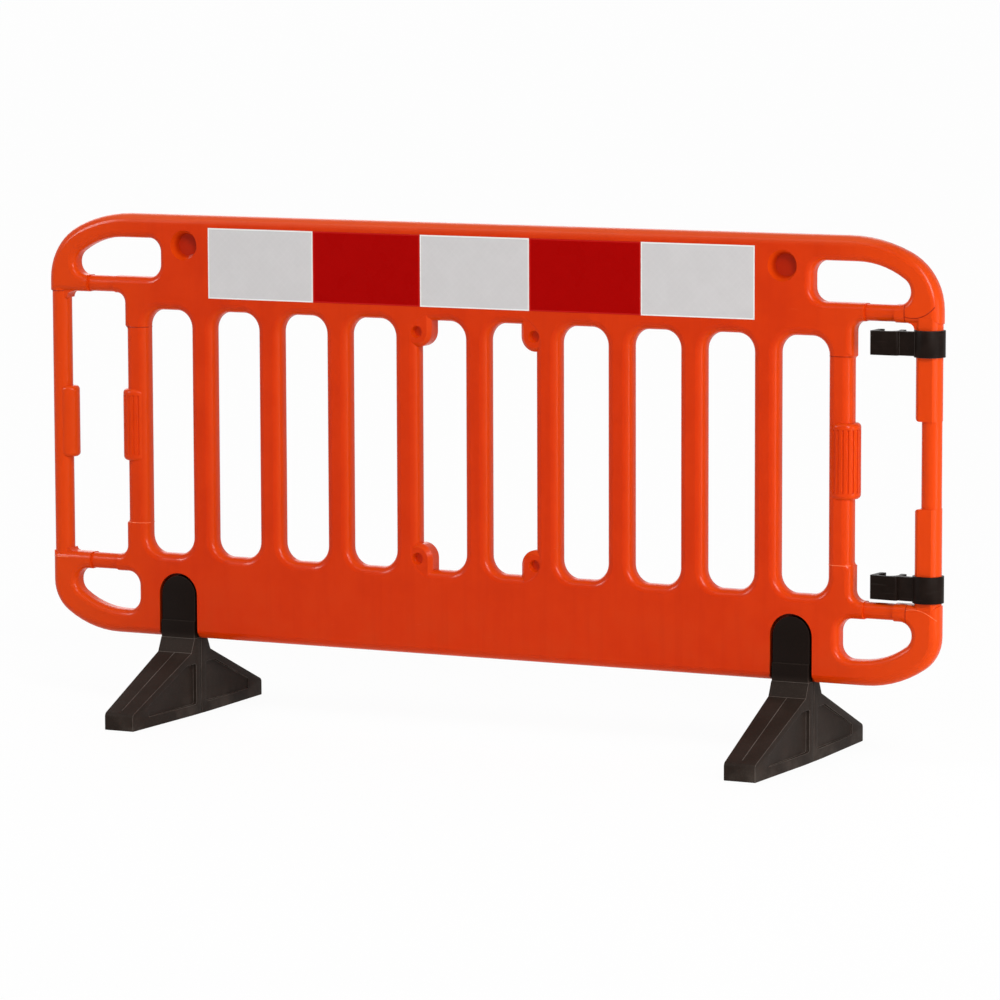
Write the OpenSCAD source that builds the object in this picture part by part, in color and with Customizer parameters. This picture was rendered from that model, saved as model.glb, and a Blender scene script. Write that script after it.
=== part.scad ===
/* [Panel] */
// Width of the panel over its two end posts
panel_w = 2000; // [1900:10:2400]
// Height of the panel from its lower edge to its top edge
panel_h = 880; // [800:5:1060]
// Thickness of the panel
panel_t = 46; // [42:1:56]
// Height of the panel's lower edge above the ground
ground_gap = 160; // [130:5:200]
// Height of the top rail that carries the reflective strip
top_rail_h = 198; // [190:1:240]
// Height of the bottom rail
bottom_rail_h = 174; // [170:1:210]
// Radius of the moulded round along the outline and the slots
edge_r = 20; // [14:1:20]
// Angle at which a moulded round runs out into the face
edge_turn = 80; // [60:1:85]

/* [Slots] */
// Number of upright slots between the inner posts
slot_count = 10; // [6:2:10]
// Spacing of the bars, centre to centre
bar_pitch = 158.5; // [130:0.5:165]
// Width of a bar between two slots
bar_w = 53; // [46:1:62]
// Radius in the corners of a slot
slot_corner_r = 36; // [20:1:44]

/* [Outline] */
// Radius of the shallow arc that leaves the top edge at an upper corner
top_long_r = 285; // [220:5:320]
// Radius of the tight arc that reaches the end post at an upper corner
top_tight_r = 125; // [100:5:135]
// Angle of the line where the two upper arcs meet
top_meet = 26; // [20:1:40]
// Radius of the shallow arc that leaves the bottom edge at a lower corner
bottom_long_r = 212; // [160:2:240]
// Radius of the tight arc that reaches the end post at a lower corner
bottom_tight_r = 80; // [60:5:100]
// Angle of the line where the two lower arcs meet
bottom_meet = 35; // [25:1:45]

/* [End windows and handles] */
// Diameter of the left end post, which a neighbour's clips grip
left_post_d = 41; // [38:1:46]
// Diameter of the right end post, which carries the clips
right_post_d = 53; // [48:1:60]
// How far the flats at the front and rear of that post lie below the panel's faces
post_flat = 0.5; // [0.5:0.5:2]
// How far the end posts stand back from the panel's ends
post_back = 1.5; // [1:0.5:4]
// Height of the corner loop above and below an end window
loop_h = 166; // [160:1:180]
// Radius in the corners of an end window
window_corner_r = 20; // [12:1:24]
// Radius of the moulded round along the windows and the handles
loop_edge_r = 16; // [10:1:17]
// Depth of the step where an inner post narrows beside its window
post_step = 3.5; // [2:0.5:5]
// Height of that narrowed length
post_step_h = 410; // [340:5:440]
// Length of an upper handle hole
top_handle_w = 204; // [180:2:210]
// Length of a lower handle hole
bottom_handle_w = 152; // [146:2:170]
// Height of a handle hole
handle_h = 81; // [81:1:90]
// Distance from the panel's end to an upper handle hole
top_handle_inset = 64; // [58:1:90]
// Distance from the panel's end to a lower handle hole
bottom_handle_inset = 58; // [54:1:80]
// Width of the panel's edge above or below a handle hole
handle_rim = 50; // [46:1:54]
// Radius in the near corners of a handle hole
handle_r = 28; // [26:1:34]
// Radius of the shallow arc in the far corner of a handle hole, under the panel's own corner
handle_long_r = 170; // [130:2:174]
// Radius of the tight arc in that corner
handle_tight_r = 28; // [25:1:29]
// Angle of the line where those two arcs meet
handle_meet = 36; // [24:1:36]
// Radius in the other far corner, beside the window
handle_small_r = 25; // [24:0.5:25.5]
// Diameter of the round bar between a handle hole and its window
loop_bar_d = 33; // [28:1:34]
// Length of that round bar
loop_bar_w = 64; // [40:2:68]
// Distance from the panel's end to that round bar
loop_bar_inset = 94; // [90:1:110]

/* [Collars] */
// Height of the collars on the posts beside the windows
collar_h = 150; // [120:5:180]
// Radius of the shoulders of the collars
collar_r = 9; // [5:1:12]
// Diameter of an inner post's collar
collar_d = 60; // [54:1:66]
// How far that collar stands beyond its post, towards the window
collar_out = 9; // [5:1:12]
// Radius of the grip flutes in that collar
flute_r = 2.5; // [1.5:0.5:3]
// Length of those flutes
flute_h = 124; // [90:2:130]
// Angle between two flutes
flute_step = 20; // [15:5:30]
// Angle of the outermost flutes from the middle one
flute_reach = 120; // [40:20:120]
// How far the left end post's swelling reaches into its window
swelling_out = 16; // [10:1:22]
// Diameter of the right end post in its waist
waist_d = 40; // [36:1:44]
// How far the waist's outer side lies inside the post's own
waist_set = 0.5; // [0.5:0.5:2]
// Height of that waist
waist_h = 170; // [140:5:190]
// Radius of the shoulders at the waist's two ends
shoulder_r = 16; // [8:1:20]

/* [Moulded recesses] */
// Diameter of the two large recesses in the top rail, at the face
recess_d = 62; // [50:1:70]
// Diameter of their floors
recess_floor_d = 44; // [36:1:50]
// Depth of those recesses
recess_depth = 19; // [10:1:20]
// Gap between the strip and the middle of a large recess
recess_gap = 58; // [48:1:62]
// Distance of a large recess below the top edge
recess_drop = 62; // [56:1:76]
// Radius of the lugs in the corners of the two middle slots
lug_r = 31; // [26:1:34]
// How far a lug's middle lies from the end of its slot
lug_drop = 23; // [18:1:30]
// Bevel around a lug's two faces
lug_bevel = 8; // [4:0.5:10]
// Diameter of the dimple in a lug, at the face
dimple_d = 25; // [18:1:30]
// Diameter of the dimple's floor
dimple_floor_d = 19; // [12:1:24]
// Depth of that dimple
dimple_depth = 13; // [8:1:16]

/* [Reflective strip] */
// Length of the strip on each face
strip_w = 1227; // [1000:1:1300]
// Height of the strip
strip_h = 146; // [100:1:150]
// Distance of the strip below the top edge
strip_drop = 24; // [20:1:26]
// Thickness of the reflective sheet
sheet_t = 0.8; // [0.5:0.1:1.2]
// Depth of the field that the sheets are laid in
field_depth = 0.5; // [0.3:0.1:1]
// Gap between two sheets
sheet_gap = 0.8; // [0.4:0.1:2]

/* [Feet] */
// Length of a foot, front to back
foot_l = 540; // [460:10:640]
// Width of a foot at its neck
foot_w = 80; // [70:1:96]
// Width of a foot at its toes
toe_w = 66; // [56:1:70]
// Height of a toe
toe_h = 34; // [28:1:44]
// Depth of the foot's neck where the slopes begin
neck_depth = 80; // [72:1:100]
// Height of the neck above the slopes
neck_h = 29; // [20:1:40]
// Distance of a foot from the middle of the inner post
foot_inset = 100; // [92:1:110]
// Width of the tongue that stands in the panel
tongue_w = 78; // [66:1:84]
// Height of the tongue
tongue_h = 129; // [110:1:140]
// Gap between the tongue and the arch around it
tongue_gap = 6; // [3:0.5:8]
// Thickness of the panel's web inside the arch
web_t = 8; // [6:0.5:12]
// Sliding clearance between the web and the tongue's two prongs
web_clear = 0.5; // [0.3:0.1:1]
// How far the prongs lie below the panel's faces
tongue_sink = 1.5; // [0.5:0.5:4]
// Height of the thick block at the root of the tongue
block_h = 36; // [24:1:50]
// How far that block stands out of the panel's faces
block_out = 3; // [1:0.5:5]
// Thickness of the web between the pockets in a foot's sides
foot_web = 64; // [50:1:64]
// Thickness of the rim along a foot's slopes
foot_rim = 16; // [12:1:22]
// Thickness of the strip along a foot's sole
foot_base = 22; // [16:1:26]
// Width of the rib between a foot's pockets
foot_rib = 40; // [30:1:56]
// Distance of a pocket from the toe
pocket_end = 60; // [50:1:90]
// Distance of the pockets' tops below the place where the slopes begin
pocket_drop = 24; // [16:1:40]
// Radius in the corners of a pocket
pocket_r = 6; // [3:1:10]
// Width of the upright groove in a foot's sides
groove_w = 3; // [2:0.5:6]
// Depth of that groove
groove_depth = 2.5; // [1:0.5:4]
// Radius of the toes' upper edges
toe_r = 10; // [4:1:16]
// Radius of the soles' outer edges
sole_r = 2; // [1:0.5:5]

/* [Clips] */
// Height of a clip's ring
clip_h = 52; // [40:1:60]
// Height of its strap and jaw
jaw_h = 47; // [36:1:52]
// Diameter of the right end post in the grooves that the rings turn in
neck_d = 44; // [38:0.5:44]
// Running clearance between ring and groove
ring_clear = 0.3; // [0.2:0.05:0.5]
// Wall of the ring
ring_wall = 8.5; // [5:0.5:9]
// Gap in the ring, through which it is pushed onto the post
ring_mouth = 36; // [24:1:40]
// Distance from the ring's axis to the jaw's axis
jaw_reach = 85; // [78:1:100]
// Clearance between the jaw and a neighbour's left post
jaw_clear = 0.1; // [0:0.05:0.3]
// Wall of the jaw at its front
jaw_wall = 6.5; // [4:0.5:8]
// Wall of the jaw at its two sides
jaw_side = 9; // [5:0.5:10]
// Width of the jaw's mouth
jaw_mouth = 34; // [26:1:38]
// Radius of the jaw's outer corners
jaw_corner_r = 5; // [2:0.5:7]
// Thickness of the strap between ring and jaw
strap_t = 13; // [8:0.5:18]
// Distance of the strap's front from the ring's axis
strap_set = 20; // [14:0.5:24]
// Height of the lower clip above the lower corner loop
lower_clip_rise = 5; // [5:1:40]
// Distance of the upper clip below the upper corner loop
upper_clip_drop = 13; // [5:1:40]
// Angle at which the lower clip is swung back
lower_clip_angle = -5; // [-60:1:60]

/* [Hidden] */
$fn = 64;
// Number of sheets in a strip, as the list of nodes has it
sheet_count = 5;
// How far a cutter runs past the surface that it cuts
past = 1;
// How far the corner cutters reach outside the outline
corner_spare = 80;
// Depth of the band that the round of a handle hole is cut with
rim_band = 24;
// How far the posts run into the corner loops
post_sink = 14;
// How far a lug runs into its rail, under the moulded round
lug_sink = 18;
end_x = panel_w / 2;
slot_w = bar_pitch - bar_w;
slot_h = panel_h - top_rail_h - bottom_rail_h;
inner_post_x = slot_count / 2 * bar_pitch;
window_x = inner_post_x + bar_w / 2;
left_post_x = -end_x + post_back + left_post_d / 2;
right_post_x = end_x - post_back - right_post_d / 2;
window_h = panel_h - 2 * loop_h;
strip_y = panel_h - strip_drop - strip_h;
sheet_w = strip_w / sheet_count;
foot_x = inner_post_x - foot_inset;
arch_w = tongue_w + 2 * tongue_gap;
arch_h = tongue_h + tongue_gap;
toe_y = foot_l / 2;
break_z = ground_gap - neck_h;
slope = (break_z - toe_h) / (toe_y - neck_depth / 2);
bore_r = neck_d / 2 + ring_clear;
ring_r = bore_r + ring_wall;
jaw_r = left_post_d / 2 + jaw_clear;
jaw_half = jaw_r + jaw_side;
jaw_front = jaw_r + jaw_wall;
lower_clip_y = loop_h + lower_clip_rise;
upper_clip_y = panel_h - loop_h - upper_clip_drop - clip_h;
ORANGE = "#e4501c";
BLACK = "#26221f";
RED = "#a30b0b";
WHITE = "#cfcfcf";

// Outlines are lists of corners, counter-clockwise, each with its place and its radius
function place(c) = [c[0], c[1]];
function corner(p, i) = place(p[(i + len(p)) % len(p)]);
function unit(v) = v / norm(v);
function way_in(p, i) = unit(corner(p, i) - corner(p, i - 1));
function way_out(p, i) = unit(corner(p, i + 1) - corner(p, i));
function turn_between(u, v) = atan2(u[0] * v[1] - u[1] * v[0], u * v);
function bend(p, i) = turn_between(way_in(p, i), way_out(p, i));
function arc_start(p, i) = corner(p, i) - way_in(p, i) * p[i][2] * tan(bend(p, i) / 2);
function arc_end(p, i) = corner(p, i) + way_out(p, i) * p[i][2] * tan(bend(p, i) / 2);
function arc_centre(p, i) = arc_start(p, i) + p[i][2] * [-way_in(p, i)[1], way_in(p, i)[0]];

// A flat outline with rounded corners
module rounded_outline(p) {
  polygon([for (i = [0:len(p) - 1]) each [arc_start(p, i), arc_end(p, i)]]);
  for (i = [0:len(p) - 1])
    if (p[i][2] > 0)
      intersection() {
        translate(arc_centre(p, i)) circle(p[i][2]);
        polygon([arc_centre(p, i), arc_start(p, i), corner(p, i), arc_end(p, i)]);
      }
}

// How far a moulded round of radius r reaches in from an edge, and where it starts
function round_reach(r) = r * (1 - cos(edge_turn));
function round_start(r) = panel_t / 2 - r * sin(edge_turn);

// Section of what a moulded round takes off an edge at x = 0, with the panel at x > 0. It goes on
// a little above the faces, so that the round alone meets them
module edge_waste(r, outside) {
  difference() {
    translate([-outside, -panel_t / 2 - past])
      square([outside + round_reach(r) + past / 2, panel_t + 2 * past]);
    translate([0, -round_start(r)])
      square([r, 2 * round_start(r)]);
    for (s = [-1, 1])
      translate([r, s * round_start(r)])
        circle(r);
  }
}

// A rectangular hole with rounded corners, flared at both faces
module slot_hole(x0, y0, x1, y1, corner_r, r) {
  half = [x1 - x0, y1 - y0] / 2;
  translate([x0, y0, 0] + [half[0], half[1], 0]) {
    translate([0, half[1] - corner_r, 0])
      rotate([90, 0, 0])
        linear_extrude(2 * (half[1] - corner_r))
          for (s = [0, 1])
            mirror([s, 0])
              translate([half[0], 0])
                edge_waste(r, half[0]);
    for (s = [0, 1])
      mirror([0, s, 0])
        translate([corner_r - half[0], half[1], 0])
          rotate([90, 0, 90])
            linear_extrude(2 * (half[0] - corner_r))
              edge_waste(r, corner_r);
    for (sx = [0, 1], sy = [0, 1])
      mirror([sx, 0, 0])
        mirror([0, sy, 0])
          translate([half[0] - corner_r, half[1] - corner_r, 0])
            rotate_extrude(angle = 90)
              translate([corner_r, 0])
                edge_waste(r, corner_r);
  }
}

// Moves a piece in three steps, each finer than the last, so that pieces meet exactly
module move(v) {
  coarse = [for (c = v) floor(c)];
  middle = [for (c = v - coarse) floor(c * 1000) / 1000];
  translate(coarse)
    translate(middle)
      translate(v - coarse - middle)
        children();
}

// Middles of the shallow and the tight arc of a corner, from the corner's apex
function long_centre(long, tight, meet) = [-tight - (long - tight) * sin(meet), -long, 0];
function tight_centre(long, tight, meet) = [-tight, (long - tight) * cos(meet) - long, 0];

// What lies outside the two arcs of a corner, with the panel below and to the left
module corner_waste(long, tight, meet) {
  move(long_centre(long, tight, meet))
    rotate(90)
      mirror([0, 1, 0])
        rotate_extrude(angle = meet)
          translate([long, 0])
            mirror([1, 0])
              edge_waste(edge_r, corner_spare);
  move(tight_centre(long, tight, meet))
    rotate_extrude(angle = 90 - meet)
      translate([tight, 0])
        mirror([1, 0])
          edge_waste(edge_r, corner_spare);
}

// A straight length of a section along x, from the origin. It comes in two lengths, so that its end
// is exact
module straight_run(length) {
  coarse = floor(length);
  for (part = [[0, coarse], [coarse, length - coarse]])
    if (part[1] > 0)
      translate([part[0], 0, 0])
        rotate([90, 0, 90])
          linear_extrude(part[1])
            children();
}

// The same round along a straight edge of the outline, with the panel below
module edge_run(length) {
  straight_run(length)
    mirror([1, 0])
      edge_waste(edge_r, corner_spare);
}

// All that is taken off the blank around the panel's outline
module outline_waste() {
  top_run = end_x + long_centre(top_long_r, top_tight_r, top_meet)[0];
  bottom_run = end_x + long_centre(bottom_long_r, bottom_tight_r, bottom_meet)[0];
  side_top = panel_h + tight_centre(top_long_r, top_tight_r, top_meet)[1];
  side_bottom = -tight_centre(bottom_long_r, bottom_tight_r, bottom_meet)[1];
  for (s = [0, 1])
    mirror([s, 0, 0]) {
      translate([0, panel_h, 0])
        edge_run(top_run);
      mirror([0, 1, 0])
        edge_run(bottom_run);
      translate([end_x, 0, 0]) {
        translate([0, panel_h, 0])
          corner_waste(top_long_r, top_tight_r, top_meet);
        mirror([0, 1, 0])
          corner_waste(bottom_long_r, bottom_tight_r, bottom_meet);
        move([0, side_top, 0])
          rotate(-90)
            edge_run(side_top - side_bottom);
      }
    }
}

// The moulded round along a straight side of a handle hole, with the hole below
module rim_run(length) {
  straight_run(length)
    edge_waste(loop_edge_r, rim_band);
}

// The same round in a corner of the hole, from +x through an angle
module rim_turn(r, angle) {
  rotate_extrude(angle = angle)
    translate([r, 0])
      edge_waste(loop_edge_r, rim_band);
}

// A handle hole from x = 0 to w and y = 0 to h, flared at both faces. Its far upper corner slopes
// away in two arcs. The rounds follow the outline, and a plain core takes out what they enclose
module handle_hole(w, h) {
  far_long = [w, h, 0] + long_centre(handle_long_r, handle_tight_r, handle_meet);
  far_tight = [w, h, 0] + tight_centre(handle_long_r, handle_tight_r, handle_meet);
  core = rim_band / 2;
  meet_way = [sin(handle_meet), cos(handle_meet), 0];
  meet_core = far_long + (handle_long_r - core) * meet_way;
  for (s = [0, 1])
    translate([handle_r, h / 2, 0])
      mirror([0, s, 0])
        translate([0, h / 2 - handle_r, 0])
          rotate(90)
            rim_turn(handle_r, 90);
  translate([0, handle_r, 0])
    rotate(90)
      rim_run(h - 2 * handle_r);
  translate([handle_r, h, 0])
    rim_run(far_long[0] - handle_r);
  move(far_long)
    rotate(90)
      mirror([0, 1, 0])
        rim_turn(handle_long_r, handle_meet);
  move(far_tight)
    rim_turn(handle_tight_r, 90 - handle_meet);
  translate([w, handle_small_r, 0])
    rotate(90)
      mirror([0, 1, 0])
        rim_run(far_tight[1] - handle_small_r);
  translate([w - handle_small_r, handle_small_r, 0])
    rotate(-90)
      rim_turn(handle_small_r, 90);
  translate([handle_r, 0, 0])
    mirror([0, 1, 0])
      rim_run(w - handle_r - handle_small_r);
  linear_extrude(panel_t + past, center = true)
    polygon([
      [core, core], [w - core, core], [w - core, far_tight[1]], [meet_core[0], meet_core[1]],
      [far_long[0], h - core], [core, h - core]
    ]);
}

// The upright slots between the inner posts
module slots() {
  for (k = [0:slot_count - 1]) {
    x = (k - (slot_count - 1) / 2) * bar_pitch;
    slot_hole(
      x - slot_w / 2, bottom_rail_h, x + slot_w / 2, bottom_rail_h + slot_h, slot_corner_r, edge_r
    );
  }
}

// The end windows, open at the panel's end where the round posts stand
module windows() {
  for (s = [0, 1])
    mirror([s, 0, 0]) {
      slot_hole(
        window_x, loop_h, end_x + corner_spare, panel_h - loop_h, window_corner_r, loop_edge_r
      );
      slot_hole(
        window_x - post_step, (panel_h - post_step_h) / 2,
        end_x, (panel_h + post_step_h) / 2, 2 * post_step, edge_r
      );
    }
}

// The four handle holes in the corner loops
module handles() {
  for (s = [0, 1])
    mirror([s, 0, 0]) {
      translate([end_x - top_handle_inset - top_handle_w, panel_h - handle_rim - handle_h, 0])
        handle_hole(top_handle_w, handle_h);
      translate([end_x - bottom_handle_inset - bottom_handle_w, handle_rim + handle_h, 0])
        mirror([0, 1, 0])
          handle_hole(bottom_handle_w, handle_h);
    }
}

// What is taken off the bars between the handle holes and the windows, to make them round
module loop_bars() {
  handle_end = handle_rim + handle_h;
  for (sx = [0, 1], y = [0, panel_h])
    mirror([sx, 0, 0])
      translate([end_x - loop_bar_inset - loop_bar_w, 0, 0])
        translate([0, abs(y - (handle_end + loop_h) / 2), 0])
          rotate([0, 90, 0])
            difference() {
              translate([-panel_t, handle_end - loop_h, 0])
                cube([2 * panel_t, 2 * (loop_h - handle_end), loop_bar_w]);
              translate([0, 0, -past])
                cylinder(h = loop_bar_w + 2 * past, d = loop_bar_d);
            }
}

// A round bar along y, from y0, with round shoulders at both ends
module domed_bar(r, y0, h) {
  translate([0, y0, 0])
    rotate([-90, 0, 0])
      rotate_extrude()
        intersection() {
          square([r, h]);
          rounded_outline([[-r, 0, 0], [r, 0, collar_r], [r, h, collar_r], [-r, h, 0]]);
        }
}

module round_post(d) {
  translate([0, loop_h - post_sink, 0])
    rotate([-90, 0, 0])
      cylinder(h = window_h + 2 * post_sink, d = d);
}

// The left end post, with its swelling towards the window
module left_post() {
  translate([left_post_x, 0, 0]) {
    round_post(left_post_d);
    translate([swelling_out, 0, 0])
      domed_bar(left_post_d / 2, (panel_h - collar_h) / 2, collar_h);
  }
}

// The right end post, before its grooves: a slim round post inside two wide lengths. Those are
// round too, with a flat at the front and the rear, and have a shoulder at the waist
module right_post() {
  flat = panel_t - 2 * post_flat;
  side = right_post_d / 2 + past;
  shoulder = (panel_h - waist_h) / 2;
  translate([right_post_x, 0, 0]) {
    translate([(right_post_d - waist_d) / 2 - waist_set, 0, 0])
      round_post(waist_d);
    for (s = [0, 1])
      translate([0, panel_h / 2, 0])
        mirror([0, s, 0])
          translate([0, -panel_h / 2, 0])
            intersection() {
              round_post(right_post_d);
              linear_extrude(flat, center = true)
                rounded_outline([
                  [-side, 0, 0], [side, 0, 0], [side, shoulder, 0], [-side, shoulder, shoulder_r]
                ]);
            }
  }
}

// A groove round the right end post for one clip's ring
module ring_groove(y) {
  translate([right_post_x, y - ring_clear, 0])
    rotate([-90, 0, 0])
      difference() {
        cylinder(h = clip_h + 2 * ring_clear, r = right_post_d / 2 + past);
        translate([0, 0, -past])
          cylinder(h = clip_h + 2 * (ring_clear + past), d = neck_d);
      }
}

// A collar on each inner post, towards the window
module at_collars() {
  for (s = [0, 1])
    mirror([s, 0, 0])
      translate([window_x + collar_out - collar_d / 2, 0, 0])
        children();
}

module collars() {
  at_collars()
    domed_bar(collar_d / 2, (panel_h - collar_h) / 2, collar_h);
}

// The grip flutes in the collars
module flutes() {
  at_collars()
    for (angle = [-flute_reach:flute_step:flute_reach])
      rotate([0, angle, 0])
        translate([collar_d / 2, (panel_h - flute_h) / 2, 0])
          rotate([-90, 0, 0])
            cylinder(h = flute_h, r = flute_r);
}

// Places of the four lugs beside the middle slots
lug_x = bar_pitch - bar_w / 2;
lug_y = [bottom_rail_h + lug_drop, bottom_rail_h + slot_h - lug_drop];

// Places a shape at each lug, with +y towards the end of its slot
module at_lugs() {
  for (s = [-1, 1], end = [0, 1])
    translate([s * lug_x, lug_y[end], 0])
      mirror([0, 1 - end, 0])
        children();
}

// Half the section of a lug, from its middle outward
module lug_section() {
  half = panel_t / 2 - past;
  polygon([
    [0, -half], [lug_r - lug_bevel, -half], [lug_r, lug_bevel - half],
    [lug_r, half - lug_bevel], [lug_r - lug_bevel, half], [0, half]
  ]);
}

// A lug: a half round end, and a straight length that runs into the rail
module lug() {
  rotate(180)
    rotate_extrude(angle = 180)
      lug_section();
  rotate([-90, 0, 0])
    linear_extrude(lug_drop + lug_sink)
      for (s = [0, 1])
        mirror([s, 0])
          lug_section();
}

// A round tapered recess in both faces
module recess(d, floor_d, depth) {
  lean = (d - floor_d) / 2 / depth;
  for (s = [0, 1])
    mirror([0, 0, s])
      translate([0, 0, panel_t / 2 - depth])
        cylinder(h = depth + past, d1 = floor_d, d2 = d + 2 * past * lean);
}

module recesses() {
  for (s = [-1, 1])
    translate([s * (strip_w / 2 + recess_gap), panel_h - recess_drop, 0])
      recess(recess_d, recess_floor_d, recess_depth);
  at_lugs()
    recess(dimple_d, dimple_floor_d, dimple_depth);
}

// The shallow fields for the reflective sheets, in both faces
module strip_fields() {
  for (s = [0, 1])
    mirror([0, 0, s])
      translate([-strip_w / 2, strip_y, panel_t / 2 - field_depth])
        cube([strip_w, strip_h, field_depth + past]);
}

module arch_shape() {
  translate([-arch_w / 2, -past])
    square([arch_w, arch_h - arch_w / 2 + past]);
  translate([0, arch_h - arch_w / 2])
    circle(arch_w / 2);
}

// The arched pockets for the feet's prongs, one each side of a web
module arches() {
  for (x = [-foot_x, foot_x], s = [0, 1])
    translate([x, 0, 0])
      mirror([0, 0, s])
        translate([0, 0, web_t / 2])
          linear_extrude(panel_t)
            arch_shape();
}

// Stands a shape drawn flat, with x along the panel and y up, on its lower edge
module stand() {
  translate([0, 0, ground_gap])
    rotate([90, 0, 0])
      children();
}

module panel_moulding() {
  color(ORANGE)
    stand()
      difference() {
        union() {
          difference() {
            translate([-end_x, 0, -panel_t / 2])
              cube([panel_w, panel_h, panel_t]);
            outline_waste();
            slots();
            windows();
            handles();
          }
          left_post();
          right_post();
          collars();
          at_lugs()
            lug();
        }
        loop_bars();
        ring_groove(lower_clip_y);
        ring_groove(upper_clip_y);
        flutes();
        recesses();
        strip_fields();
        arches();
      }
}

// One sheet of a strip, counted from the left as its own face is seen
module sheet(i) {
  color(i % 2 == 1 ? WHITE : RED)
    translate([(i - 1) * sheet_w - strip_w / 2 + sheet_gap / 2, strip_y + sheet_gap / 2, 0])
      translate([0, 0, panel_t / 2 - field_depth])
        cube([sheet_w - sheet_gap, strip_h - sheet_gap, sheet_t]);
}

module front_sheet(i) {
  stand()
    sheet(i);
}

module rear_sheet(i) {
  rotate(180)
    stand()
      sheet(i);
}

// Outline of a foot seen from the side, y across the panel and z up
foot_outline = [
  [-toe_y, 0, sole_r], [toe_y, 0, sole_r], [toe_y, toe_h, toe_r], [neck_depth / 2, break_z, 0],
  [panel_t / 2 + block_out, ground_gap, 0], [-panel_t / 2 - block_out, ground_gap, 0],
  [-neck_depth / 2, break_z, 0], [-toe_y, toe_h, toe_r]
];

// Height of the underside of a foot's sloping rim
function rim_z(y) = toe_h + (toe_y - y) * slope - foot_rim;
pocket_top = break_z - pocket_drop;
pocket_toe = toe_y - pocket_end;
pocket_outline = [
  [foot_rib / 2, foot_base, pocket_r], [pocket_toe, foot_base, pocket_r],
  [pocket_toe, rim_z(pocket_toe), pocket_r],
  [toe_y - (pocket_top + foot_rim - toe_h) / slope, pocket_top, pocket_r],
  [foot_rib / 2, pocket_top, pocket_r]
];

// Turns a side outline so that it is swept across the foot, along x
module across(w) {
  rotate([90, 0, 90])
    linear_extrude(w)
      children();
}

// One prong of the tongue, on the front or the rear of the panel's web
module prong(depth, h, round_top) {
  translate([0, 0, ground_gap - past])
    rotate([90, 0, 0])
      linear_extrude(depth) {
        translate([-tongue_w / 2, 0])
          square([tongue_w, past + h - (round_top ? tongue_w / 2 : 0)]);
        if (round_top)
          translate([0, past + h - tongue_w / 2])
            circle(tongue_w / 2);
      }
}

module foot() {
  prong_start = web_t / 2 + web_clear;
  difference() {
    union() {
      intersection() {
        translate([-foot_w / 2, 0, 0])
          across(foot_w)
            rounded_outline(foot_outline);
        linear_extrude(ground_gap)
          polygon([
            [foot_w / 2, -neck_depth / 2], [foot_w / 2, neck_depth / 2], [toe_w / 2, toe_y],
            [-toe_w / 2, toe_y], [-foot_w / 2, neck_depth / 2], [-foot_w / 2, -neck_depth / 2],
            [-toe_w / 2, -toe_y], [toe_w / 2, -toe_y]
          ]);
      }
      for (s = [0, 1])
        mirror([0, s, 0])
          translate([0, -prong_start, 0]) {
            prong(panel_t / 2 - tongue_sink - prong_start, tongue_h, true);
            prong(panel_t / 2 + block_out - prong_start, block_h, false);
          }
    }
    for (sx = [0, 1], sy = [0, 1])
      mirror([sx, 0, 0])
        mirror([0, sy, 0])
          translate([foot_web / 2, 0, 0])
            across(foot_w)
              rounded_outline(pocket_outline);
    for (s = [0, 1])
      mirror([s, 0, 0])
        translate([foot_w / 2 - groove_depth, -groove_w / 2, -past])
          cube([foot_w, groove_w, ground_gap]);
  }
}

module left_foot() {
  color(BLACK)
    translate([-foot_x, 0, 0])
      foot();
}

module right_foot() {
  color(BLACK)
    translate([foot_x, 0, 0])
      foot();
}

// A clip: ring at the origin, jaw towards -x, both open towards +y
module clip(y, angle) {
  jaw_outline = [
    [-jaw_half, -jaw_front, jaw_corner_r], [jaw_half, -jaw_front, jaw_corner_r],
    [jaw_half, jaw_r, jaw_corner_r], [-jaw_half, jaw_r, jaw_corner_r]
  ];
  color(BLACK)
    translate([right_post_x, 0, ground_gap + y])
      rotate(angle)
        difference() {
          union() {
            cylinder(h = clip_h, r = ring_r);
            translate([0, 0, (clip_h - jaw_h) / 2])
              linear_extrude(jaw_h) {
                translate([-jaw_reach, 0])
                  rounded_outline(jaw_outline);
                translate([-jaw_reach, -strap_set])
                  square([jaw_reach, strap_t]);
              }
          }
          translate([0, 0, -past])
            linear_extrude(clip_h + 2 * past) {
              circle(bore_r);
              translate([-ring_mouth / 2, 0])
                square([ring_mouth, ring_r + past]);
              translate([-jaw_reach, 0]) {
                circle(jaw_r);
                translate([-jaw_mouth / 2, 0])
                  square([jaw_mouth, jaw_half + past]);
              }
            }
        }
}

module upper_clip() {
  clip(upper_clip_y, 0);
}

module lower_clip() {
  clip(lower_clip_y, lower_clip_angle);
}

panel_moulding();
left_foot();
right_foot();
upper_clip();
lower_clip();
for (i = [1:sheet_count]) {
  front_sheet(i);
  rear_sheet(i);
}
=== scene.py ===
# %% [markdown]
# # A pedestrian barrier panel
# The shapes come from the packed CAD model, which is loaded as a fixed frame. Blender adds what
# the CAD leaves out: soft edges on the feet and clips, the moulds' seams and beads, small fillets,
# the finishes, the light and the camera. Everything is in metres: X along the panel, Y to the
# rear, Z up.

# %% Load the frame
import math

import bmesh
import bpy
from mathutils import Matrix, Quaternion, Vector
from mathutils.bvhtree import BVHTree


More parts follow.
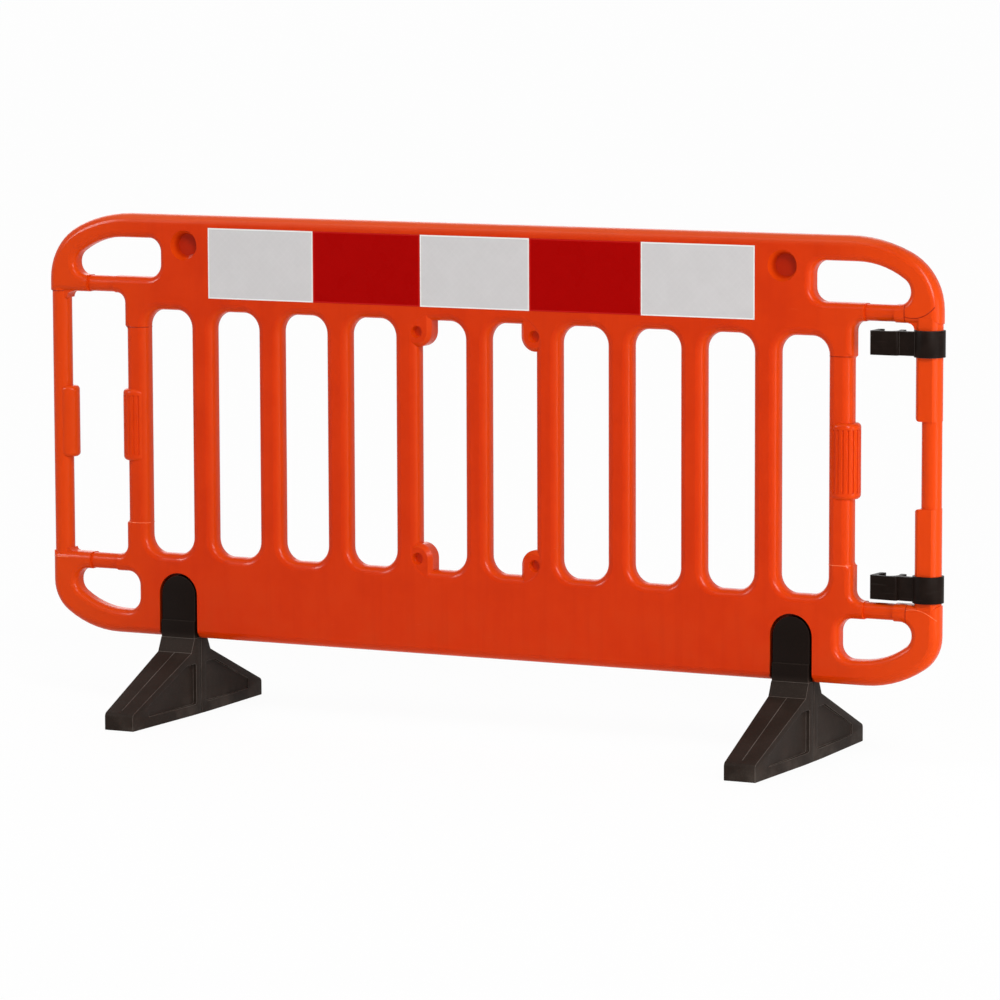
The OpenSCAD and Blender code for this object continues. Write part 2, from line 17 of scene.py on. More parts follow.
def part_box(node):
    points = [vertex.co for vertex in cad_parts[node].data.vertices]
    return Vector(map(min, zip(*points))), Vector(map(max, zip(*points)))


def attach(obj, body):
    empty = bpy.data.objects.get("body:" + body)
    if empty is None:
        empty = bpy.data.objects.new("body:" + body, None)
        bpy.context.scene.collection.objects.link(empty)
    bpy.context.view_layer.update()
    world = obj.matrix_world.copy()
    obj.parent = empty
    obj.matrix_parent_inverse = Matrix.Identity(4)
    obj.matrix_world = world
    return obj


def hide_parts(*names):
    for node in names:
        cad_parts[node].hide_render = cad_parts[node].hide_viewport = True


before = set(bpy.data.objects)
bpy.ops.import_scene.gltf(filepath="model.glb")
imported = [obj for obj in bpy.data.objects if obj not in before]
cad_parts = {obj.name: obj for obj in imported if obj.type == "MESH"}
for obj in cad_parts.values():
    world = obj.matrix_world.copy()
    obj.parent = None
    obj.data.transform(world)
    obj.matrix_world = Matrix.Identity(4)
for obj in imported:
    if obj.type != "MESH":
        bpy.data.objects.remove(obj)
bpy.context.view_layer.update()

# %% [markdown]
# ## Writing shaders as sums
# A finish is a small recipe: so much grain, a little dust, a shine that changes. Placing Math
# nodes one by one hides that recipe, so a Term wraps a socket and lets Python's own operators add
# the nodes. A Finish is one material, and its `node` method makes any other kind of node.


# %% A term of a shader sum
class Term:
    """A socket that can be used in sums. Every operation adds one node."""

    def __init__(self, finish, socket):
        self.finish = finish
        self.socket = socket

    def maths(self, operation, first, second=0.0):
        return self.finish.node("ShaderNodeMath", {"operation": operation}, {0: first, 1: second})

    def __add__(self, other):
        return self.maths("ADD", self, other)

    def __sub__(self, other):
        return self.maths("SUBTRACT", self, other)

    def __rsub__(self, other):
        return self.maths("SUBTRACT", other, self)

    def __mul__(self, other):
        return self.maths("MULTIPLY", self, other)

    def __gt__(self, other):
        return self.maths("GREATER_THAN", self, other)

    def __abs__(self):
        return self.maths("ABSOLUTE", self)

    def fraction(self):
        return self.maths("FRACT", self)

    def most(self, other):
        return self.maths("MAXIMUM", self, other)

    def ramp(self, low, high):
        """0 below low, 1 above high, and a smooth step between them."""
        settings = {"interpolation_type": "SMOOTHSTEP"}
        return self.finish.node("ShaderNodeMapRange", settings, {"Value": self, 1: low, 2: high})

    __radd__ = __add__
    __rmul__ = __mul__


print("operations of a term:", sum(callable(item) for item in vars(Term).values()) - 1)


# %% A finish
class Finish:
    """One material, built from terms."""

    def __init__(self, name):
        self.material = bpy.data.materials.new(name)
        self.material.use_nodes = True
        self.tree = self.material.node_tree
        self.shader = self.tree.nodes["Principled BSDF"]

    def node(self, kind, settings, inputs, output=0):
        """Adds a node: its settings first, then the values or links of its sockets."""
        made = self.tree.nodes.new(kind)
        for key, value in settings.items():
            setattr(made, key, value)
        for key, value in inputs.items():
            self.put(made.inputs[key], value)
        return Term(self, made.outputs[output])

    def put(self, socket, value):
        """Links a term to a socket, or sets the socket to a plain value."""
        if isinstance(value, Term):
            self.tree.links.new(value.socket, socket)
        else:
            socket.default_value = value

    def place(self):
        """Where a point lies in the object's frame, in metres."""
        return self.node("ShaderNodeTexCoord", {}, {}, "Object")

    def along(self, vector, axis):
        """One coordinate of a vector: 0 for x, 1 for y, 2 for z."""
        return self.node("ShaderNodeSeparateXYZ", {}, {0: vector}, axis)

    def stretch(self, vector, x, y, z):
        inputs = {0: vector, 1: (x, y, z)}
        return self.node("ShaderNodeVectorMath", {"operation": "MULTIPLY"}, inputs)

    def noise(self, vector, scale, detail=3.0, rough=0.55):
        inputs = {"Vector": vector, "Scale": scale, "Detail": detail, "Roughness": rough}
        return self.node("ShaderNodeTexNoise", {}, inputs)

    def cells(self, vector, scale):
        """How far a point is from the nearest of many scattered points."""
        inputs = {"Vector": vector, "Scale": scale}
        return self.node("ShaderNodeTexVoronoi", {}, inputs, "Distance")

    def mix(self, start, end, amount):
        """A colour between two others."""
        return self.node("ShaderNodeMix", {"data_type": "RGBA"}, {0: amount, 6: start, 7: end}, 2)

    def bump(self, height, strength):
        """A normal that follows a height in metres."""
        inputs = {"Height": height, "Distance": 1.0, "Strength": strength}
        return self.node("ShaderNodeBump", {}, inputs)

    def surface(self, **sockets):
        """Fills sockets of the shader: base_color stands for Base Color, and so on."""
        for name, value in sockets.items():
            title = name.replace("_", " ").title().replace("Ior", "IOR")
            self.put(self.shader.inputs[title], value)
        return self.material


def paint(red, green, blue):
    """A colour as a picture editor gives it, 0 to 255, for a shader socket: the sRGB curve."""
    channels = (red, green, blue)
    linear = [((c / 255 + 0.055) / 1.055) ** 2.4 if c > 10 else c / 3294.6 for c in channels]
    return (*linear, 1.0)


print("orange as the shader takes it:", [round(c, 3) for c in paint(206, 50, 3)])

# %% [markdown]
# ## Orange polyethylene
# The panel is blow moulded: a hot tube of plastic is blown against the mould. The skin comes out
# satin, slightly wavy, with a fine grain from the mould, and use adds pale rub marks and dust low
# down. The ends, the rounds and the top edge get a paler, yellower tone, a painted highlight, and
# the large recesses and the feet's pockets a darker one, a painted shade. A parting bead runs round
# every edge at the mould's middle, where Y is 0. All of this is smaller than a millimetre deep, so
# a bump gives it; the forms themselves are in the mesh. The plastic reflects little: in a white
# room, more would lay a grey veil over the orange.

# %% The panel's finish
RECESS_X, RECESS_Z = 0.6715, 0.978
RECESS_FLOOR_R, RECESS_RIM_R = 0.0219, 0.030
RECESS_DEPTH = (0.007, 0.021)
POCKET_X, POCKET_HALF, POCKET_TOP, POCKET_BLUR = 0.6925, 0.047, 0.300, 0.001
POCKET_DEPTH = (0.020, 0.0225)
DUST_HEIGHT, TOP_EDGE, END_RUN = (0.17, 0.36), (1.018, 1.034), (0.66, 0.97)
PARTING_DEPTH = (0.0003, 0.0011)
# The paler tones for the ends, the rounds and the top edge are painted highlight; the darker tones
# for the recesses and the pockets are painted shade.
STREAK, PAINTED_SHEEN_END, PAINTED_SHEEN_ROUND = paint(198, 45, 3), paint(223, 70, 10), paint(226, 76, 14)
RUB_AND_PAINTED_TOP_SHEEN, ORANGE_DUST = paint(236, 104, 58), paint(164, 60, 26)
RECESS_PAINTED_SHADE, POCKET_PAINTED_SHADE = paint(162, 25, 0), paint(62, 12, 2)


def polyethylene(name, dark, light, painted_sheen=1.0):
    """Orange plastic between two tones, with rub marks, dust, painted highlight and shade."""
    skin = Finish(name)
    spot = skin.place()
    wave = skin.noise(spot, scale=5.0, detail=2.0)
    cloud = skin.noise(spot, scale=14.0, detail=4.0)
    grain = skin.noise(spot, scale=900.0, detail=2.0)
    streak = skin.noise(skin.stretch(spot, 60.0, 60.0, 3.0), scale=1.0)
    scuff = skin.noise(skin.stretch(spot, 9.0, 40.0, 60.0), scale=1.0, detail=5.0, rough=0.7)
    rub = scuff.ramp(0.66, 0.78)
    run, depth, height = abs(skin.along(spot, 0)), abs(skin.along(spot, 1)), skin.along(spot, 2)
    facing = abs(skin.along(skin.node("ShaderNodeTexCoord", {}, {}, "Normal"), 1))
    dust = (1 - height.ramp(*DUST_HEIGHT)) * cloud.ramp(0.42, 0.72)
    tone = skin.mix(dark, light, cloud.ramp(0.3, 0.7))
    tone = skin.mix(tone, STREAK, streak.ramp(0.45, 0.75) * 0.3)
    # Paler towards both ends: a painted highlight.
    tone = skin.mix(tone, PAINTED_SHEEN_END, run.ramp(*END_RUN) * (0.65 * painted_sheen))
    # Paler on the rounds, where the normal turns away from Y: a painted highlight.
    tone = skin.mix(tone, PAINTED_SHEEN_ROUND, (1 - facing.ramp(0.6, 0.98)) * (0.5 * painted_sheen))
    # Pale rub marks are wear; the paler top edge is a painted highlight.
    tone = skin.mix(tone, RUB_AND_PAINTED_TOP_SHEEN, rub * 0.14 + height.ramp(*TOP_EDGE) * 0.36)
    tone = skin.mix(tone, ORANGE_DUST, dust * 0.14)
    # Darker in the large recesses: a painted shade.
    from_x, from_z = run - RECESS_X, height - RECESS_Z
    off_middle = (from_x * from_x + from_z * from_z).ramp(RECESS_FLOOR_R**2, RECESS_RIM_R**2)
    recess = (1 - off_middle) * (1 - depth.ramp(*RECESS_DEPTH))
    tone = skin.mix(tone, RECESS_PAINTED_SHADE, recess * 0.7)
    # Darker in the feet's pockets: a painted shade.
    beside = abs(run - POCKET_X).ramp(POCKET_HALF, POCKET_HALF + POCKET_BLUR)
    above = height.ramp(POCKET_TOP, POCKET_TOP + POCKET_BLUR)
    pocket = (1 - beside) * (1 - above) * (1 - depth.ramp(*POCKET_DEPTH))
    tone = skin.mix(tone, POCKET_PAINTED_SHADE, pocket * 0.7)
    parting = 1 - depth.ramp(*PARTING_DEPTH)
    relief = wave * 0.0016 + grain * 0.00005 + parting * 0.0004 + rub * 0.00005
    skin.surface(base_color=tone, roughness=0.17 + cloud * 0.1 + rub * 0.15,
                 normal=skin.bump(relief, strength=0.6), specular_ior_level=0.08)
    return skin


skin = polyethylene("orange_polyethylene", paint(206, 50, 3), paint(212, 54, 5))
# Seam tones: the darker one is a painted shade, the paler one a painted highlight.
seam_in_painted_shade = polyethylene("painted_shade_seam", paint(142, 28, 3), paint(150, 32, 4), painted_sheen=0.0)
seam_in_painted_highlight = polyethylene("painted_highlight_seam", paint(246, 112, 66), paint(250, 122, 74), painted_sheen=0.0)
print("panel finish:", len(skin.tree.nodes), "nodes")

# %% [markdown]
# ## The panel's mesh
# The CAD kernel left a fin without thickness across the lower edge near each end, on the front and
# on the rear, where a straight cut meets a round one. The panel shown here is the same mesh
# without those few triangles, and with the normals of the CAD surfaces kept, so that flat faces
# stay flat and rounds stay round.

# %% A copy without the fins
FIN_X, FIN_TOP, FIN_MARGIN = 0.844288, 0.177, 5e-6


def new_object(name, data):
    """An object in the scene that shows a mesh, a lamp or a camera."""
    made = bpy.data.objects.new(name, data)
    bpy.context.scene.collection.objects.link(made)
    return made


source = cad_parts["panel_moulding"].data
in_fin = [abs(abs(v.co.x) - FIN_X) < FIN_MARGIN and v.co.z < FIN_TOP for v in source.vertices]
kept = [face for face in source.polygons if not all(in_fin[i] for i in face.vertices)]
normals = [source.corner_normals[i].vector for face in kept for i in face.loop_indices]
mesh = bpy.data.meshes.new("panel_whole")
mesh.from_pydata([v.co for v in source.vertices], [], [tuple(face.vertices) for face in kept])
mesh.normals_split_custom_set(normals)
mesh.materials.append(skin.material)
panel_whole = new_object("panel_whole", mesh)
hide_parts("panel_moulding")
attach(panel_whole, "panel")
print("panel:", len(kept), "faces, without", len(source.polygons) - len(kept), "of the fins")

# %% [markdown]
# ## Reflective sheet
# The white and red sheets are a clear film over tiny prisms, welded together along a diamond net,
# and cut with a sealed, brighter rim. The net is finer than the camera can show, so it is kept
# faint. `Generated` runs from 0 to 1 over each sheet, which puts the rim on every sheet alike.

# %% The sheets' finishes
RIM_X, RIM_Z = 0.489, 0.481
NETS_PER_METRE = 62.0
SHEETS_PER_FACE = 5


def reflective(name, body, net, rim):
    """A film of one colour, with a paler net and a paler rim."""
    film = Finish(name)
    share = film.node("ShaderNodeTexCoord", {}, {}, "Generated")
    from_middle_x = abs(film.along(share, 0) - 0.5)
    from_middle_z = abs(film.along(share, 2) - 0.5)
    edge = (from_middle_x > RIM_X).most(from_middle_z > RIM_Z)
    spot = film.place()
    run, height = film.along(spot, 0), film.along(spot, 2)
    falling = abs(((run + height) * NETS_PER_METRE).fraction() - 0.5)
    rising = abs(((run - height) * NETS_PER_METRE).fraction() - 0.5)
    net_line = falling.most(rising).ramp(0.44, 0.49)
    cloud = film.noise(spot, scale=22.0)
    tone = film.mix(body, net, net_line * 0.35 + cloud.ramp(0.4, 0.7) * 0.25)
    tone = film.mix(tone, rim, edge)
    relief = net_line * 0.00006 + cloud * 0.0002
    return film.surface(base_color=tone, roughness=0.22 + cloud * 0.12,
                        normal=film.bump(relief, strength=0.5), specular_ior_level=0.03)


white_film = reflective("white_reflective_film", body=paint(204, 202, 202),
                        net=paint(213, 211, 211), rim=paint(236, 234, 231))
red_film = reflective("red_reflective_film", body=paint(164, 1, 0), net=paint(172, 2, 1),
                      rim=paint(190, 24, 20))
for face in ("front", "rear"):
    for count in range(1, SHEETS_PER_FACE + 1):
        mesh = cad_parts[f"{face}_sheet_{count}"].data
        mesh.materials.clear()
        mesh.materials.append(white_film if count % 2 else red_film)
print("films on", sum("sheet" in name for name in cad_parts), "sheets")

# %% [markdown]
# ## Recycled plastic of the feet, black plastic of the clips
# The feet are cast from ground-up plastic, which leaves a dull brown-black with paler crumbs and
# small pits. The tongue is darker than the rest of the foot. The clips are a cleaner black with a
# light satin. The edges of both are paler than their faces, a painted highlight, so each has a
# second finish for its edges.

# %% The feet's and clips' finishes
TONGUE_HEIGHT, SPLASH_HEIGHT = (0.150, 0.175), (0.0, 0.05)
CRUMB, FOOT_DUST, SCRATCH = paint(92, 84, 76), paint(104, 96, 88), paint(70, 64, 60)


def recycled(name, dark, light, tongue_tone):
    """A cast plastic with crumbs, pits and dust; it is darker above a given height, on the tongue.
    """
    cast = Finish(name)
    spot = cast.place()
    height = cast.along(spot, 2)
    cloud = cast.noise(spot, scale=16.0, detail=5.0)
    crumb = 1 - cast.cells(spot, scale=260.0).ramp(0.1, 0.34)
    pit = 1 - cast.cells(spot, scale=120.0).ramp(0.05, 0.16)
    tone = cast.mix(dark, light, cloud.ramp(0.35, 0.7))
    tone = cast.mix(tone, CRUMB, crumb * 0.12)
    tone = cast.mix(tone, tongue_tone, height.ramp(*TONGUE_HEIGHT))
    dusty = (1 - height.ramp(*SPLASH_HEIGHT)) * cloud.ramp(0.4, 0.7)
    tone = cast.mix(tone, FOOT_DUST, dusty * 0.22)
    relief = cloud * 0.0008 + crumb * 0.00012 - pit * 0.00035
    cast.surface(base_color=tone, roughness=0.5 + cloud * 0.2,
                 normal=cast.bump(relief, strength=0.7), specular_ior_level=0.05)
    return cast


def satin_black(name, dark, light):
    """A clean moulded black with a fine grain and a few scratches."""
    black = Finish(name)
    spot = black.place()
    cloud = black.noise(spot, scale=30.0, detail=4.0)
    grain = black.noise(spot, scale=1200.0, detail=2.0)
    scratch = black.noise(black.stretch(spot, 20.0, 20.0, 400.0), scale=1.0).ramp(0.62, 0.74)
    tone = black.mix(dark, light, cloud.ramp(0.35, 0.7))
    tone = black.mix(tone, SCRATCH, scratch * 0.2)
    relief = grain * 0.00006 + cloud * 0.0002 - scratch * 0.00005
    black.surface(base_color=tone, roughness=0.36 + cloud * 0.16 + scratch * 0.1,
                  normal=black.bump(relief, strength=0.6), specular_ior_level=0.04)
    return black


cast = recycled("recycled_black_plastic", paint(38, 30, 25), paint(46, 37, 32), paint(19, 10, 6))
# The paler edge finish of the feet: a painted highlight.
cast_painted_edge_highlight = recycled("black_plastic_painted_edge_highlight", paint(84, 76, 70), paint(104, 96, 90), paint(44, 36, 31))
black = satin_black("black_clip_plastic", paint(21, 13, 9), paint(28, 19, 15))
# The paler edge finish of the clips: a painted highlight.
clip_painted_edge_highlight = satin_black("clip_plastic_painted_edge_highlight", paint(66, 60, 56), paint(80, 74, 70))
print("finishes:", [finish.material.name for finish in (cast, cast_painted_edge_highlight, black, clip_painted_edge_highlight)])

# %% [markdown]
# ## Softened edges
# A cast foot and a moulded clip have no knife edges: each edge is a small round that catches the
# light. The CAD solids keep their edges sharp, which is right for collision. A copy of the mesh,
# welded back from its separate faces and then bevelled, stands in for each of them. The new faces
# along the edges take the paler edge finish, a painted highlight.

# %% Copies with rounded edges
FOOT_ROUND, CLIP_ROUND = 0.002, 0.0012
CAD_WELD, ROUND_WELD = 2e-6, 1e-6
FLAT, SHARP, CREASE = math.radians(0.4), math.radians(22), math.radians(35)


def softened(node, body, finish, edge_finish, width):
    """A copy of a CAD node with rounded edges, which stands for it."""
    shape = bmesh.new()
    shape.from_mesh(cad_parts[node].data)
    bmesh.ops.remove_doubles(shape, verts=shape.verts, dist=CAD_WELD)
    bmesh.ops.dissolve_limit(shape, angle_limit=FLAT, verts=shape.verts, edges=shape.edges)
    shape.normal_update()
    sharp = [e for e in shape.edges if e.is_manifold and e.calc_face_angle() > SHARP]
    # The bevelled faces take the second finish, a paler tone that paints a highlight on each edge.
    bmesh.ops.bevel(shape, geom=sharp, offset=width, segments=3, profile=0.5, affect="EDGES",
                    clamp_overlap=True, material=1)
    bmesh.ops.remove_doubles(shape, verts=shape.verts, dist=ROUND_WELD)
    mesh = bpy.data.meshes.new(node + "_soft")
    shape.to_mesh(mesh)
    shape.free()
    mesh.shade_smooth()
    mesh.set_sharp_from_angle(angle=CREASE)
    mesh.materials.append(finish.material)
    mesh.materials.append(edge_finish.material)
    piece = new_object(node + "_soft", mesh)
    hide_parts(node)
    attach(piece, body)
    print(piece.name, len(mesh.polygons), "faces")


softened("left_foot", "left_foot_body", cast, cast_painted_edge_highlight, FOOT_ROUND)
softened("right_foot", "right_foot_body", cast, cast_painted_edge_highlight, FOOT_ROUND)
softened("upper_clip", "upper_clip_body", black, clip_painted_edge_highlight, CLIP_ROUND)
softened("lower_clip", "lower_clip_body", black, clip_painted_edge_highlight, CLIP_ROUND)

# %% [markdown]
# ## Beads and seams
# Where the halves of a mould met, a thin bead stands on the plastic. It is a real ridge that the
# light picks out, so it is a slim tube, half sunk in. On the feet it runs down the middle of each
# slope and takes the paler edge finish, a painted highlight. On the panel, inserts in the mould
# left seams across the posts, along the elbows and across the loop bars. Those are drawn flat, as
# x and z, and a ray cast at the panel finds where each point lies. The upper seams face down and
# get a darker tone, a painted shade. Most lower ones face up and get a paler tone, a painted
# highlight.

# %% Slim tubes on a surface
BEAD_SIDES = 8
PIECE_CREASE = math.radians(40)


def add_piece(name, shape, body, finish):
    """Makes a piece of a filled bmesh, and hangs it on a body."""
    bmesh.ops.recalc_face_normals(shape, faces=shape.faces)
    mesh = bpy.data.meshes.new(name)
    shape.to_mesh(mesh)
    shape.free()
    mesh.shade_smooth()
    mesh.set_sharp_from_angle(angle=PIECE_CREASE)
    mesh.materials.append(finish.material)
    piece = new_object(name, mesh)
    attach(piece, body)


def bead(name, points, out, radius, body, finish):
    """A slim tube through the points, closed at both ends. `out` points away from the surface."""
    shape = bmesh.new()
    turns = [2 * math.pi * k / BEAD_SIDES for k in range(BEAD_SIDES)]
    rings = []
    for i, point in enumerate(points):
        ahead = (points[min(i + 1, len(points) - 1)] - points[max(i - 1, 0)]).normalized()
        side = ahead.cross(out).normalized()
        up = side.cross(ahead)
        circle = [point + radius * (side * math.cos(t) + up * math.sin(t)) for t in turns]
        rings.append([shape.verts.new(corner) for corner in circle])
    for a, b in zip(rings, rings[1:]):
        for k in range(BEAD_SIDES):
            following = (k + 1) % BEAD_SIDES
            shape.faces.new((a[k], a[following], b[following], b[k]))
    shape.faces.new(rings[0][::-1])
    shape.faces.new(rings[-1])
    add_piece(name, shape, body, finish)


print("sides of a bead:", BEAD_SIDES)

# %% Beads down the slopes of the feet
TOE, TOE_HEIGHT, NECK, BREAK = 0.270, 0.034, 0.040, 0.131
BEAD_GAP_ABOVE, BEAD_GAP_BELOW, BEAD_STEPS, BEAD_RADIUS = 0.002, 0.014, 6, 0.0007
FACES = {"front": -1, "rear": 1}
fall = (BREAK - TOE_HEIGHT) / (TOE - NECK)
bead_run = TOE - NECK - BEAD_GAP_ABOVE - BEAD_GAP_BELOW
for foot in ("left", "right"):
    low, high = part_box(foot + "_foot")
    middle = (low[0] + high[0]) / 2
    for face, way in FACES.items():
        steps = [BEAD_GAP_ABOVE + bead_run * k / BEAD_STEPS for k in range(BEAD_STEPS + 1)]
        slope = [Vector((middle, way * (NECK + t), BREAK - fall * t)) for t in steps]
        # The bead takes the feet's paler edge finish: a painted highlight.
        bead(f"{foot}_{face}_parting_bead", slope, Vector((0, way, 2)), BEAD_RADIUS,
             foot + "_foot_body", cast_painted_edge_highlight)

# %% Seams on the panel
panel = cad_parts["panel_moulding"]
panel_surface = BVHTree.FromPolygons([panel.matrix_world @ v.co for v in panel.data.vertices],
                                     [p.vertices for p in panel.data.polygons])
RAY_START = 0.2


def laid(drawing, way):
    """The points of a drawing on the panel's front, where way is -1, or on its rear."""
    ahead = Vector((0, -way, 0))
    starts = [Vector((x, way * RAY_START, z)) for x, z in drawing]
    hits = [panel_surface.ray_cast(start, ahead)[0] for start in starts]
    return [hit for hit in hits if hit]


def across(middle, half, z, count=15):
    """A level line, with its points closer together towards both ends."""
    turns = [math.pi * (k / (count - 1) - 0.5) for k in range(count)]
    return [(middle + half * math.sin(t), z) for t in turns]


def upright(x, low, high, count=13):
    """A plumb line."""
    return [(x, low + (high - low) * k / (count - 1)) for k in range(count)]


def elbow(x, z, radius, way, first, last, count=21):
    """The edge of an elbow: an arc that is level at x and z, and bends up, or down if way is -1."""
    turns = [math.radians(first + (last - first) * k / (count - 1)) for k in range(count)]
    return [(x + radius * math.sin(t), z + way * radius * (1 - math.cos(t))) for t in turns]


SEAM_RADIUS = 0.0008
WINDOW_LOW, WINDOW_HIGH = 0.326, 0.874
LEFT_POST_X, LEFT_POST_HALF, LEFT_POST_DROP = -0.978, 0.0195, 0.012
INNER_POST_X, INNER_POST_HALF = 0.79075, 0.0244
LEDGE_LOW, LEDGE_HIGH = 0.3955, 0.8045
UPPER_ELBOW_X, UPPER_ELBOW_RISE, UPPER_ELBOW_R = 0.945, 0.0106, 0.0555
LOWER_ELBOW_X, LOWER_ELBOW_DROP, LOWER_ELBOW_R = 0.950, 0.0082, 0.0634
UPPER_BAR_X, UPPER_BAR = 0.9275, (WINDOW_HIGH + 0.003, WINDOW_HIGH + 0.035)
LOWER_BAR_X, LOWER_BAR = 0.9335, (WINDOW_LOW - 0.0355, WINDOW_LOW - 0.0025)
# Seams in the darker tone: a painted shade.
seams_in_painted_shade = {
    "left_upper_post": across(LEFT_POST_X, LEFT_POST_HALF, WINDOW_HIGH),
    "left_upper_inner_post": across(-INNER_POST_X, INNER_POST_HALF, LEDGE_HIGH),
    "right_upper_inner_post": across(INNER_POST_X, INNER_POST_HALF, LEDGE_HIGH),
    "right_upper_elbow": elbow(UPPER_ELBOW_X, WINDOW_HIGH + UPPER_ELBOW_RISE, UPPER_ELBOW_R,
                               way=1, first=-17, last=54),
    "right_upper_tube": upright(UPPER_BAR_X, *UPPER_BAR),
    "right_lower_tube": upright(LOWER_BAR_X, *LOWER_BAR),
}
# Seams in the paler tone: a painted highlight.
seams_in_painted_highlight = {
    "left_lower_post": across(LEFT_POST_X, LEFT_POST_HALF, WINDOW_LOW - LEFT_POST_DROP),
    "left_lower_inner_post": across(-INNER_POST_X, INNER_POST_HALF, LEDGE_LOW),
    "right_lower_inner_post": across(INNER_POST_X, INNER_POST_HALF, LEDGE_LOW),
    "right_lower_elbow": elbow(LOWER_ELBOW_X, WINDOW_LOW - LOWER_ELBOW_DROP, LOWER_ELBOW_R,
                               way=-1, first=-14, last=47),
}
for seams, finish in ((seams_in_painted_shade, seam_in_painted_shade), (seams_in_painted_highlight, seam_in_painted_highlight)):
    for name, drawing in seams.items():
        for face, way in FACES.items():
            bead(f"{name}_{face}_seam", laid(drawing, way), Vector((0, way, 0)), SEAM_RADIUS,
                 "panel", finish)

# %% [markdown]
# ## Fillets in the windows
# Where an end post leaves its corner loop, the mould rounds the corner. The CAD model meets there
# at a square corner, and a small web with a hollow edge fills it in. The corner beside the lower
# clip stays open, because the clip's ring turns there.

# %% Corner webs
LEFT_CORNER_X, RIGHT_CORNER_X = -0.9575, 0.9455
WEB_HALF, WEB_SUNK, WEB_POINTS = 0.0155, 0.008, 9


def fillet(name, x, z, way_x, way_z, radius):
    """A web in a corner at x and z, whose hollow edge faces way_x and way_z."""
    turns = [math.radians(90 * k / (WEB_POINTS - 1)) for k in range(WEB_POINTS)]
    hollow = [(radius * (1 - math.cos(t)), radius * (1 - math.sin(t))) for t in turns]
    flat = hollow + [(radius, -WEB_SUNK), (-WEB_SUNK, -WEB_SUNK), (-WEB_SUNK, radius)]
    shape = bmesh.new()
    rings = [[shape.verts.new((x + way_x * a, y, z + way_z * b)) for a, b in flat]
             for y in (-WEB_HALF, WEB_HALF)]
    for k in range(len(flat)):
        shape.faces.new((rings[0][k], rings[0][k - 1], rings[1][k - 1], rings[1][k]))
    for ring in rings:
        shape.faces.new(ring)
    add_piece(name, shape, "panel", skin)


fillet("left_upper_fillet", LEFT_CORNER_X, WINDOW_HIGH, 1, -1, radius=0.014)
fillet("left_lower_fillet", LEFT_CORNER_X, WINDOW_LOW, 1, 1, radius=0.007)
fillet("right_upper_fillet", RIGHT_CORNER_X, WINDOW_HIGH, -1, -1, radius=0.012)

# %% [markdown]
# ## Floor and light
# The picture was taken in soft, even light on white. The sky lights the object evenly, a wide sun
# from the right gives the shading, a weaker one lights the rear, and softboxes brighten the right
# end and the top. Two narrow lamps show in reflections only, and draw the highlights along the
# rounds. The floor shows white to the camera, yet keeps a share of its own shading, and with it
# the shadow.

# %% The floor and the world
SKY_LIGHT = 0.34
FLOOR_HALF, FLOOR_WHITENESS = 150, 0.95


class Sky(Finish):
    """The world, built from terms as a finish is."""

    def __init__(self, name):
        world = bpy.data.worlds.new(name)
        bpy.context.scene.world = world
        world.use_nodes = True
        self.tree = world.node_tree
        self.tree.nodes["Background"].inputs["Color"].default_value = (1, 1, 1, 1)


def to_an_eye(owner):
    """1 for rays that the camera, a reflection or a clear piece sends out, 0 for other light."""
    straight = owner.node("ShaderNodeLightPath", {}, {}, "Is Camera Ray")
    mirrored = owner.node("ShaderNodeLightPath", {}, {}, "Is Glossy Ray")
    through = owner.node("ShaderNodeLightPath", {}, {}, "Is Transmission Ray")
    return straight.most(mirrored).most(through)


corners = [(a * FLOOR_HALF, b * FLOOR_HALF, 0) for a, b in ((-1, -1), (1, -1), (1, 1), (-1, 1))]
floor_mesh = bpy.data.meshes.new("floor")
floor_mesh.from_pydata(corners, [], [(0, 1, 2, 3)])
floor = new_object("floor", floor_mesh)

ground = Finish("pale_floor")
glow = ground.node("ShaderNodeEmission", {}, {"Color": (1, 1, 1, 1), "Strength": 1.0})
ground.surface(base_color=(0.95, 0.95, 0.95, 1), roughness=0.8)
lit = Term(ground, ground.shader.outputs[0])
share = to_an_eye(ground) * FLOOR_WHITENESS
shown = ground.node("ShaderNodeMixShader", {}, {0: share, 1: lit, 2: glow})
ground.put(ground.tree.nodes["Material Output"].inputs["Surface"], shown)
floor_mesh.materials.append(ground.material)

sky = Sky("studio")
strength = SKY_LIGHT + to_an_eye(sky) * (1.0 - SKY_LIGHT)
sky.put(sky.tree.nodes["Background"].inputs["Strength"], strength)
print("sky lights the object at", SKY_LIGHT, "and shows at 1")


# %% The lamps
def aimed(name, light, place, aim):
    """A lamp in the scene that shines from a place towards another."""
    holder = new_object(name, light)
    holder.location = place
    holder.rotation_euler = (Vector(aim) - Vector(place)).to_track_quat("-Z", "Y").to_euler()
    return holder


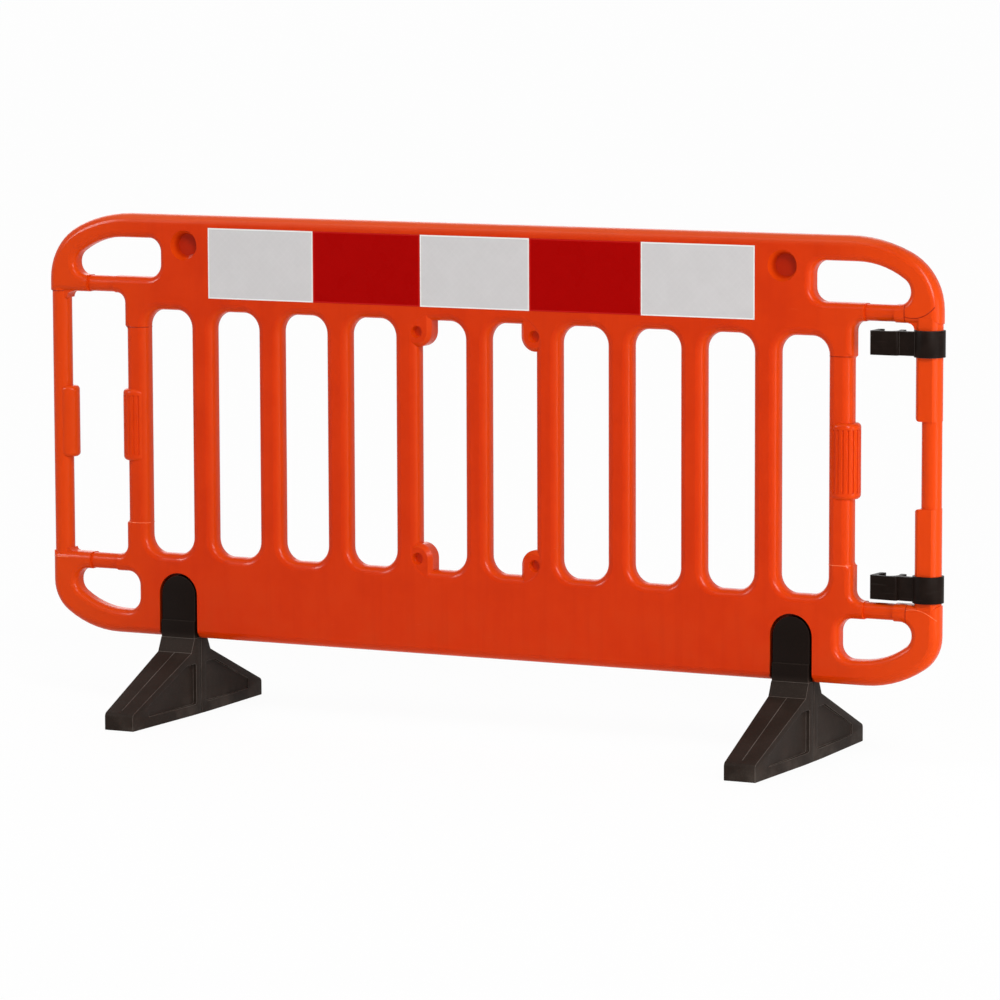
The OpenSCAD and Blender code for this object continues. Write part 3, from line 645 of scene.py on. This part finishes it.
def sun(name, energy, degrees, place):
    """A far lamp, which looks the given degrees wide."""
    light = bpy.data.lights.new(name, "SUN")
    light.energy, light.angle = energy, math.radians(degrees)
    aimed(name, light, place, (0, 0, 0.5))


def softbox(name, energy, width, height, place, aim):
    """A lit rectangle."""
    light = bpy.data.lights.new(name, "AREA")
    light.energy, light.shape, light.size, light.size_y = energy, "RECTANGLE", width, height
    return aimed(name, light, place, aim)


sun("key_sun", 1.12, 14, (4.0, -5.0, 5.5))
sun("rear_sun", 0.55, 40, (-3.0, 4.0, 3.0))
softbox("right_softbox", 15.0, 1.2, 2.2, (3.2, -2.6, 1.9), (0.6, 0, 0.55))
softbox("side_softbox", 10.0, 0.7, 1.0, (2.3, -0.35, 0.6), (0.7, 0, 0.35))
softbox("top_softbox", 22.0, 3.0, 0.8, (-0.8, -1.8, 3.2), (-0.2, 0, 0.6))
for gleam in (softbox("right_gleam", 150.0, 0.6, 1.5, (3.2, -2.6, 2.2), (0, 0, 0.6)),
              softbox("left_gleam", 120.0, 0.6, 1.5, (-3.4, -2.4, 2.4), (0, 0, 0.6))):
    gleam.visible_diffuse = False

# %% [markdown]
# ## Camera
# Fitted to points of the photograph: a long lens about 10 m away, 26.5 degrees to the right of the
# panel's front and 7 degrees up, turned a little about its own axis.

# %% The camera
TARGET, DISTANCE = Vector((0.0448, 0.0, 0.4837)), 10.4288
AZIMUTH, ELEVATION, ROLL = math.radians(26.524), math.radians(6.936), math.radians(-0.179)
SENSOR, LENS = 36.0, 186.28
level = math.cos(ELEVATION)
back = Vector((math.sin(AZIMUTH) * level, -math.cos(AZIMUTH) * level, math.sin(ELEVATION)))
camera = new_object("camera", bpy.data.cameras.new("camera"))
camera.data.sensor_width = SENSOR
camera.data.lens = LENS
camera.location = TARGET + back * DISTANCE
turn = (-back).to_track_quat("-Z", "Y") @ Quaternion((0, 0, 1), ROLL)
camera.rotation_euler = turn.to_euler()
bpy.context.scene.camera = camera
bpy.context.scene.view_settings.view_transform = "Standard"
print("camera at", [round(c, 3) for c in camera.location])

# %% [markdown]
